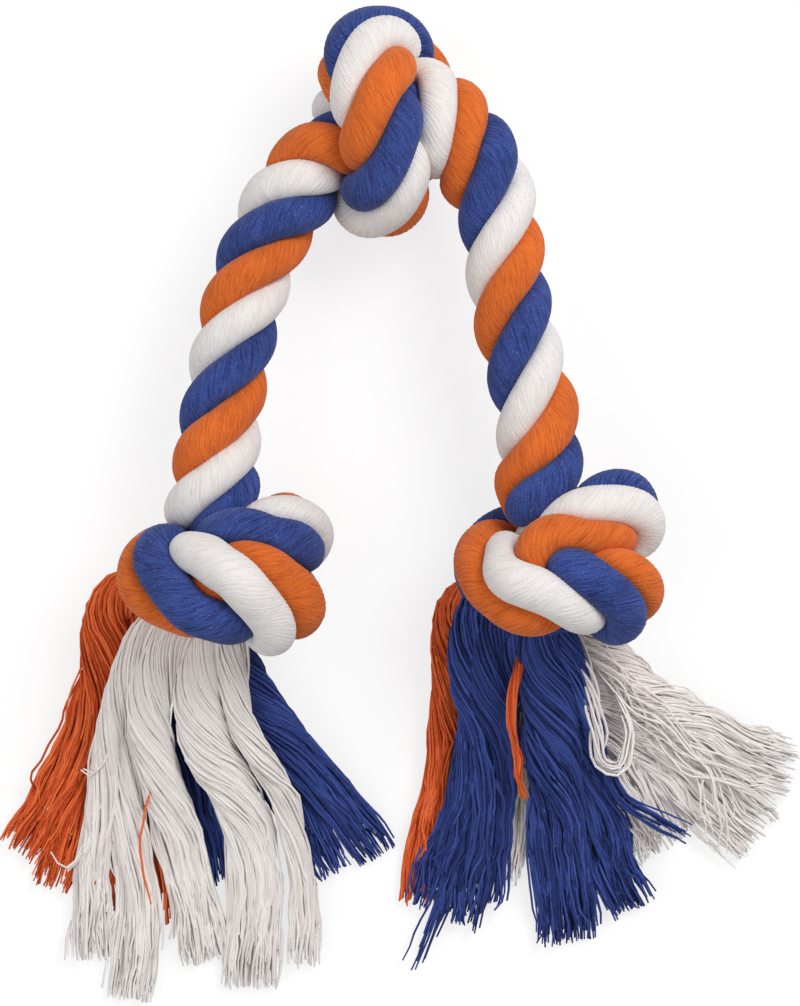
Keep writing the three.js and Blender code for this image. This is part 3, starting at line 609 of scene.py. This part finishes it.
# tassels: each strand's end is combed out into locks of loose yarn, given from the rope to the tip in mm
locks = {
    "left": {
        "white": [
            {"yarns": 134, "widths": (10, 13), "path": [(-74.5, -37.5, 38), (-87, -43.5, 35),
                (-98, -60.5, 28), (-104, -83.5, 19), (-107.5, -107.5, 11), (-111, -127.5, 7),
                (-112.5, -146, 5), (-112, -166, 3.5)]},
            {"yarns": 179, "widths": (15, 18), "path": [(-71, -39.5, 39), (-81, -48.5, 36),
                (-88.5, -65, 31), (-90, -79.5, 26), (-87, -96, 19), (-81.5, -114.5, 12), (-76, -136.5, 7),
                (-70.5, -167, 3.5)]},
            {"yarns": 150, "widths": (13, 17), "path": [(-73, -41, 34), (-85.5, -52.5, 29),
                (-93.5, -72.5, 21), (-98, -94.5, 14), (-98, -116.5, 9), (-95.5, -138.5, 6),
                (-95.5, -158.5, 4), (-98, -180.5, 3)]},
            {"yarns": 215, "widths": (17, 21), "path": [(-66, -42, 39), (-70, -54, 36),
                (-72.5, -69.5, 31), (-69, -85.5, 26), (-61.5, -100.5, 19), (-55, -117.5, 12),
                (-52.5, -136.5, 8), (-53.5, -157, 5), (-54.5, -177, 3)]},
            {"yarns": 86, "widths": (9, 9), "path": [(-60, -43.5, 38), (-60, -54, 36), (-59, -65, 33),
                (-57.5, -76, 29), (-51.5, -89, 24), (-43.5, -103.5, 17), (-38.5, -120, 12),
                (-35, -138.5, 8), (-35, -155, 5.5), (-36, -169, 3)]},
            {"yarns": 3, "widths": (3, 8), "path": [(-74.5, -37.5, 38), (-87, -45, 34), (-99.5, -65, 27),
                (-105, -87, 20), (-110, -97, 16), (-114.5, -92.5, 15), (-117.5, -91, 14)]},
            {"yarns": 3, "widths": (2, 6), "path": [(-73, -41, 34), (-89.5, -56, 27), (-100.5, -81.5, 19),
                (-108.5, -107.5, 12), (-114.5, -125.5, 9), (-120.5, -131.5, 8), (-126, -128.5, 8),
                (-127.5, -125.5, 8)]},
        ],
        "orange": [
            {"yarns": 168, "widths": (16, 18), "path": [(-83.5, -29.5, 36), (-97.5, -31, 26),
                (-105, -39, 20), (-106.5, -53, 16), (-108.5, -69.5, 12), (-116, -89.5, 9),
                (-127.5, -111.5, 6), (-138, -128, 3.5)]},
            {"yarns": 157, "widths": (17, 18), "path": [(-83, -32, 30), (-93.5, -37, 20),
                (-99.5, -49.5, 14), (-103, -69.5, 10), (-110, -93, 7), (-119, -118.5, 5),
                (-126.5, -140.5, 3)]},
            {"yarns": 131, "widths": (15, 16), "path": [(-82.5, -35, 24), (-92, -44, 15),
                (-97.5, -58.5, 10), (-102, -77, 7), (-106.5, -100.5, 5), (-109.5, -126, 4),
                (-111, -148.5, 3)]},
            {"yarns": 72, "widths": (10, 9), "path": [(-79, -40, 20), (-87, -55, 11), (-89.5, -75, 7),
                (-87, -108, 5), (-84.5, -133.5, 3.5), (-83, -153.5, 3)]},
            {"yarns": 1, "widths": (1, 1), "path": [(-79, -40, 20), (-86.5, -55, 14), (-90, -78, 16),
                (-90, -103.5, 18), (-93.5, -121.5, 16), (-93, -134.5, 13), (-91, -144.5, 11)]},
        ],
        "blue": [
            {"yarns": 157, "widths": (15, 17), "path": [(-63.5, -38, 31), (-59, -54.5, 24),
                (-50.5, -71, 17), (-35.5, -92, 11), (-20, -112, 7), (-8, -129, 3.5)]},
            {"yarns": 144, "widths": (16, 17), "path": [(-65, -42, 28), (-61, -60, 18), (-54, -79, 11),
                (-41.5, -104, 7), (-32, -124, 4.5), (-26, -136.5, 3)]},
            {"yarns": 140, "widths": (19, 15), "path": [(-67.5, -45.5, 24), (-71, -64, 14),
                (-73.5, -86, 8), (-72.5, -104, 6), (-67.5, -126, 4), (-64.5, -138, 3)]},
        ],
    },
    "right": {
        "blue": [
            {"yarns": 144, "widths": (13, 16), "mess": 1.4, "path": [(39, -34.5, 40), (28.5, -36, 37),
                (24, -49, 33), (24.5, -63.5, 28), (28, -77, 22), (26.5, -96.5, 15), (20.5, -116.5, 9),
                (13.5, -133, 6), (8.5, -147, 3.5)]},
            {"yarns": 134, "widths": (13, 15), "mess": 1.4, "path": [(41, -38, 40), (34, -41, 37),
                (30.5, -54, 33), (31, -68.5, 28), (33.5, -81.5, 23), (33, -98, 16), (30, -118.5, 10),
                (26, -136.5, 6.5), (22.5, -152.5, 3.5)]},
            {"yarns": 106, "widths": (14, 12), "mess": 1.4, "path": [(44.5, -41.5, 36), (38.5, -52.5, 31),
                (36, -69, 24), (36.5, -87, 17), (35.5, -107.5, 11), (33.5, -129.5, 6),
                (31.5, -146, 3.5)]},
            {"yarns": 210, "widths": (19, 23), "mess": 1.4, "path": [(51.5, -42, 40), (50, -54, 35),
                (53.5, -72, 28), (55.5, -94, 19), (57, -120, 11), (58.5, -140.5, 7),
                (60.5, -159.5, 3.5)]},
            {"yarns": 157, "widths": (14, 19), "mess": 1.4, "path": [(56, -44.5, 37), (60.5, -59.5, 30),
                (65, -78, 22), (68, -98, 14), (73, -120, 8.5), (79.5, -138, 5.5), (85, -148, 3.5)]},
            {"yarns": 16, "widths": (4, 7), "path": [(39, -34.5, 40), (28.5, -36, 37), (24, -49, 33),
                (25, -67, 27), (27.5, -79.5, 21), (25, -100, 14), (20, -122, 8), (15.5, -140.5, 5),
                (9, -157, 4), (4, -170.5, 2.5)]},
            {"yarns": 14, "widths": (4, 8), "path": [(55.5, -44.5, 38), (61.5, -57.5, 33),
                (65.5, -72, 28), (69, -85.5, 24), (73.5, -95, 20), (80, -106, 17), (90, -114.5, 15),
                (105.5, -122.5, 12)]},
        ],
        "orange": [
            {"yarns": 131, "widths": (13, 13), "path": [(34, -31, 36), (24.5, -32.5, 28), (19, -40, 22),
                (18, -54.5, 17), (17.5, -73, 12), (16, -91.5, 8), (11.5, -112, 5.5), (7, -131.5, 4),
                (4.5, -144.5, 3)]},
            {"yarns": 83, "widths": (10, 11), "path": [(35.5, -34.5, 28), (26, -40.5, 19),
                (22.5, -56.5, 12), (21, -77, 8), (19, -95, 6), (15.5, -112, 4.5), (10.5, -126, 3)]},
            {"yarns": 15, "widths": (2.4, 2.4), "path": [(46.5, -45, 34), (44, -54, 33), (42, -63.5, 38),
                (40.5, -75.5, 37), (40.5, -88, 30), (42, -99.5, 24), (45.5, -107.5, 18)]},
        ],
        "white": [
            {"yarns": 200, "widths": (15, 22), "mess": 1.6, "fine": 0.8, "path": [(61.5, -43.5, 27),
                (72.5, -53.5, 21), (90, -70, 15), (110.5, -83, 10), (128.5, -91.5, 6.5),
                (143.5, -96.5, 3.5)]},
            {"yarns": 255, "widths": (21, 28), "mess": 1.6, "fine": 0.8, "path": [(61.5, -46, 24),
                (76.5, -65.5, 15), (97, -89.5, 9), (116, -109.5, 6), (131, -123, 3.5)]},
            {"yarns": 200, "widths": (19, 25), "mess": 1.6, "fine": 0.8, "path": [(61, -49, 20),
                (72.5, -76.5, 11), (85, -104, 6.5), (97.5, -126, 3.5)]},
            {"yarns": 61, "widths": (9, 9), "path": [(53.5, -49.5, 18), (47.5, -71, 11), (44, -100.5, 7),
                (42, -126, 4.5), (40, -137, 3)]},
            {"yarns": 9, "widths": (6, 9), "path": [(60.5, -49, 30), (67, -61.5, 30), (69.5, -77.5, 28),
                (72.5, -94, 25), (79, -96, 23), (82.5, -83, 24), (78, -67, 26)]},
            {"yarns": 8, "widths": (8, 16), "mess": 2, "fine": 0.8, "path": [(61.5, -44, 28),
                (74, -58, 24), (88, -80, 18), (103, -92, 14), (118, -98, 11), (134, -103, 8)]},
            {"yarns": 8, "widths": (8, 18), "mess": 2, "fine": 0.8, "path": [(61.5, -46, 26),
                (76, -60, 22), (95, -77, 17), (108, -96, 13), (113, -113, 10), (111, -128, 7)]},
        ],
    },
}
tasselLook = {
    "yarnRadius": 0.5, "points": 32, "sides": 4, "pointsPerSpan": 40, "floorGap": 0.6, "seed": 11,
    "twist": -0.9, "rootRadius": 6.0, "skin": 0.34, "jitter": 0.06, "rimMost": 1.1,
    "thickness": (8.0, 6.5, 2.6), "uneven": 0.17, "unevenPower": 1.5, "gather": 0.4, "wispSize": 14,
    "tipScatter": 1.2, "scatterShare": 0.2, "tipThinning": 0.35, "thinnest": 0.85, "thickest": 1.15,
    "rootLooseness": 0.08, "strays": 3.0, "strayPower": 11,
    "sway": 3.0, "swaySize": 24.0, "wispSway": 4.5, "wispSwaySize": 19.0, "frizz": 2.0, "frizzSize": 7.0,
    "yarnSeedStep": 3.7, "wispSeedStep": 5.3, "wispsPerLock": 100,
    # where along a yarn each change starts and ends, as parts of its lock's length
    "twistOver": (0, 0.75), "spreadOver": (0.08, 0.4), "gatherOver": (0.45, 1), "tipOver": (0.5, 1),
    "scatterOver": (0.7, 1), "looseOver": (0.1, 0.9), "thinOver": (0.92, 1),
}


def discSpots(count, power):  # over the unit disc, evenly at a power of 0.5 and nearer the rim below that
    ranks = np.arange(count)
    return ((ranks + 0.5) / count) ** power, ranks * math.pi * (3 - math.sqrt(5))


# a lock's yarns as points in mm, their parts of its length, and their wisps
def yarnRoutes(inside, lock, random):
    count, samples = lock["yarns"], tasselLook["points"]
    curve = smoothCurve(np.vstack([inside, lock["path"]]), tasselLook["pointsPerSpan"])
    lengths = arcLengths(curve)
    rank, angle = discSpots(count, tasselLook["skin"])
    rank = np.clip(rank + random.normal(0, tasselLook["jitter"], count), 0, tasselLook["rimMost"])
    angle = angle + random.normal(0, tasselLook["jitter"], count)
    reach = 1 - tasselLook["uneven"] * random.random(count) ** tasselLook["unevenPower"]
    part = reach[:, None] * np.linspace(0, 1, samples)[None]
    behind, centre, ahead = (
        pointsAt(curve, lengths, (part * lengths[-1] + shift).reshape(-1)).reshape(count, samples, 3)
        for shift in (-1, 0, 1))
    tangent = unit(ahead - behind)
    flat = unit(np.cross(upward, tangent))
    over = np.cross(tangent, flat)
    turned = angle[:, None] + 2 * np.pi * tasselLook["twist"] * smoothStep(part, *tasselLook["twistOver"])
    across, high = rank[:, None] * np.cos(turned), rank[:, None] * np.sin(turned)
    # towards the tips the yarns gather in wisps
    wispRank, wispAngle = discSpots(max(1, count // tasselLook["wispSize"]), 0.5)
    wisps = np.stack([wispRank * np.cos(wispAngle), wispRank * np.sin(wispAngle)], axis=1)
    ends = np.stack([across[:, -1], high[:, -1]], axis=1)
    wisp = np.linalg.norm(ends[:, None] - wisps[None], axis=2).argmin(axis=1)
    own = wisps[wisp]
    gather = tasselLook["gather"] * smoothStep(part, *tasselLook["gatherOver"])
    across = across + (own[:, :1] - across) * gather
    high = high + (own[:, 1:] - high) * gather
    spread = smoothStep(part, *tasselLook["spreadOver"])
    tip = smoothStep(part, *tasselLook["tipOver"])
    root, (middle, last) = 2 * tasselLook["rootRadius"], lock["widths"]
    width = root + (middle - root) * spread + (last - middle) * tip
    thick = [min(t, middle) for t in tasselLook["thickness"]]
    thickness = thick[0] + (thick[1] - thick[0]) * spread + (thick[2] - thick[1]) * tip
    scatter = min(tasselLook["tipScatter"], last * tasselLook["scatterShare"])
    loose = scatter * random.normal(0, 1, (2, count, 1)) * smoothStep(part, *tasselLook["scatterOver"])
    across, high = across * width / 2 + loose[0], high * thickness / 2 + loose[1] / 2
    return centre + flat * across[..., None] + over * high[..., None], part, wisp


# loose yarn: each edge chain is swayed with its neighbours, frizzed by itself and skinned as a thin tube
yarnTree, given = newTree("looseYarn", {
    "Yarn radius": "Float", "Sides": "Int", "Sway": "Float", "Sway size": "Float", "Wisp sway": "Float",
    "Wisp sway size": "Float", "Frizz": "Float", "Frizz size": "Float", "Floor": "Float", "Seed": "Float",
    "Material": "Material"})
yarns = addNode(yarnTree, "GeometryNodeMeshToCurve", {"Mesh": given["Geometry"]})
looseness, number, wisp, stray, thinness = (
    addNode(yarnTree, "GeometryNodeInputNamedAttribute", {"Name": label})
    for label in ("looseness", "number", "wisp", "stray", "thinness"))
spot = addNode(yarnTree, "GeometryNodeInputPosition")


def wander(freedom, amount, size, seed):  # a shift by smooth noise, as far as a yarn is free to move
    scale = addNode(yarnTree, "ShaderNodeMath", {0: 1.0, 1: size}, operation="DIVIDE")
    noise = addNode(yarnTree, "ShaderNodeTexNoise", {
        "Vector": spot, "W": seed, "Scale": scale, "Detail": 1.0}, noise_dimensions="4D")
    centred = addNode(yarnTree, "ShaderNodeVectorMath", {0: noise.outputs["Color"], 1: (0.5, 0.5, 0.5)},
                      operation="SUBTRACT")
    strength = addNode(yarnTree, "ShaderNodeMath", {0: freedom, 1: amount}, operation="MULTIPLY")
    return addNode(yarnTree, "ShaderNodeVectorMath", {0: centred, "Scale": strength}, operation="SCALE")


ownSeed, wispSeed = (
    addNode(yarnTree, "ShaderNodeMath", {0: group, 1: tasselLook[step], 2: given["Seed"]},
            operation="MULTIPLY_ADD")
    for group, step in ((number, "yarnSeedStep"), (wisp, "wispSeedStep")))
straying = addNode(yarnTree, "ShaderNodeMath", {0: looseness, 1: stray}, operation="MULTIPLY")
sway = wander(straying, given["Sway"], given["Sway size"], given["Seed"])
wispSway = wander(straying, given["Wisp sway"], given["Wisp sway size"], wispSeed)
frizz = wander(looseness, given["Frizz"], given["Frizz size"], ownSeed)
placed = sway
for further in (wispSway, frizz, spot):
    placed = addNode(yarnTree, "ShaderNodeVectorMath", {0: placed, 1: further}, operation="ADD")
noLimit = -10.0  # the floor stops a yarn from below, and nothing stops it sideways
lowest = addNode(yarnTree, "ShaderNodeCombineXYZ", {"X": noLimit, "Y": noLimit, "Z": given["Floor"]})
lying = addNode(yarnTree, "ShaderNodeVectorMath", {0: placed, 1: lowest}, operation="MAXIMUM")
swayed = addNode(yarnTree, "GeometryNodeSetPosition", {"Geometry": yarns, "Position": lying})
outline = addNode(yarnTree, "GeometryNodeCurvePrimitiveCircle", {
    "Resolution": given["Sides"], "Radius": given["Yarn radius"]})
skin = addNode(yarnTree, "GeometryNodeCurveToMesh", {
    "Curve": swayed, "Profile Curve": outline, "Scale": thinness, "Fill Caps": True})
finishTree(yarnTree, skin, given["Material"])

looseFinish = {
    "shader": {"Roughness": 0.9, "Specular IOR Level": 0.15, "Sheen Weight": 0.2},
    "fibreShare": 1.2, "darkFrom": 0.6, "darkTo": 1.7, "darkMost": 0.95,
}


# combed out: each yarn has a shade of its own, and fibres that show lighter and darker
def looseCotton(colour):
    shades, finish = cottonColours[colour], looseFinish
    material, tree, shader = newCotton(colour + "LooseCottonYarn", finish)
    shader.inputs["Sheen Tint"].default_value = toLinear(shades["looseSheen"])
    shade = addNode(tree, "ShaderNodeAttribute", attribute_name="shade").outputs["Fac"]
    spot = addNode(tree, "ShaderNodeTexCoord").outputs["Object"]
    fibre = addNode(tree, "ShaderNodeTexNoise", {
        "Vector": spot, "Scale": 1 / (cottonGrain["fibre"] * mm), "Detail": 2.0})
    mixed = addNode(tree, "ShaderNodeMath", {0: fibre, 1: finish["fibreShare"], 2: shade},
                    operation="MULTIPLY_ADD")
    dark = addNode(tree, "ShaderNodeMapRange", {
        "Value": mixed, "From Min": finish["darkFrom"], "From Max": finish["darkTo"],
        "To Max": finish["darkMost"]})
    body = addNode(tree, "ShaderNodeMix", {
        0: dark, 6: toLinear(shades["loose"]), 7: toLinear(shades["looseDark"])}, data_type="RGBA").outputs[2]
    tree.links.new(body, shader.inputs["Base Color"])
    return material


def yarnMesh(name, routes, parts, wisps, mess, fine, random):  # chains of edges that carry how each yarn lies
    count, samples = routes.shape[:2]
    first = (np.arange(count)[:, None] * samples + np.arange(samples - 1)[None]).reshape(-1)
    mesh = bpy.data.meshes.new(name)
    mesh.from_pydata(routes.reshape(-1, 3) * mm, np.stack([first, first + 1], axis=1).tolist(), [])
    rootLooseness = tasselLook["rootLooseness"]
    loosened = smoothStep(parts, *tasselLook["looseOver"]).reshape(-1)
    straying = mess * (1 + tasselLook["strays"] * random.random(count) ** tasselLook["strayPower"])
    tipped = 1 - tasselLook["tipThinning"] * smoothStep(np.linspace(0, 1, samples), *tasselLook["thinOver"])
    sizes = fine * random.uniform(tasselLook["thinnest"], tasselLook["thickest"], count)
    fields = {
        "looseness": rootLooseness + (1 - rootLooseness) * loosened,
        "stray": np.repeat(straying, samples),
        "thinness": (sizes[:, None] * tipped[None]).reshape(-1),
        "shade": np.repeat(random.random(count), samples),
        "number": np.repeat(np.arange(count), samples),
        "wisp": np.repeat(wisps, samples),
    }
    for label, values in fields.items():
        mesh.attributes.new(label, "FLOAT", "POINT").data.foreach_set("value", values.astype(np.float32))
    return mesh


# each tassel is built from its locks of yarn and baked where it lies, and the solid it stands for is hidden
looseCottons = {colour: looseCotton(colour) for colour in colourOrder}
cut = strandLook["tailCut"]
random = np.random.default_rng(tasselLook["seed"])
for side, sideLocks in locks.items():
    for colour, colourLocks in sideLocks.items():
        path = drawn[colourOrder.index(colour)]
        inwards = path if side == "left" else path[::-1]
        inside = inwards[cut + 2:cut - 1:-1]  # the yarns start inside the strand's end
        made = [yarnRoutes(inside, lock, random) for lock in colourLocks]
        name = f"{side}Tassel_{colour}"
        routes, parts = (np.vstack([m[k] for m in made]) for k in (0, 1))
        wisps = np.concatenate([m[2] + tasselLook["wispsPerLock"] * k for k, m in enumerate(made)])
        counts = [lock["yarns"] for lock in colourLocks]
        mess, fine = (
            np.repeat([lock.get(key, 1) for lock in colourLocks], counts) for key in ("mess", "fine"))
        mesh = yarnMesh(name, routes, parts, wisps, mess, fine, random)
        piece = throughTree(mesh, name, yarnTree, {
            "Yarn radius": tasselLook["yarnRadius"] * mm, "Sides": tasselLook["sides"],
            "Sway": tasselLook["sway"] * mm, "Sway size": tasselLook["swaySize"] * mm,
            "Wisp sway": tasselLook["wispSway"] * mm, "Wisp sway size": tasselLook["wispSwaySize"] * mm,
            "Frizz": tasselLook["frizz"] * mm, "Frizz size": tasselLook["frizzSize"] * mm,
            "Floor": tasselLook["floorGap"] * mm, "Seed": float(tasselLook["seed"]),
            "Material": looseCottons[colour]})
        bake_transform(piece)
        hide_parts(f"{side}_tassel_{colour}")
        print(name, "made,", sum(counts), "yarns")
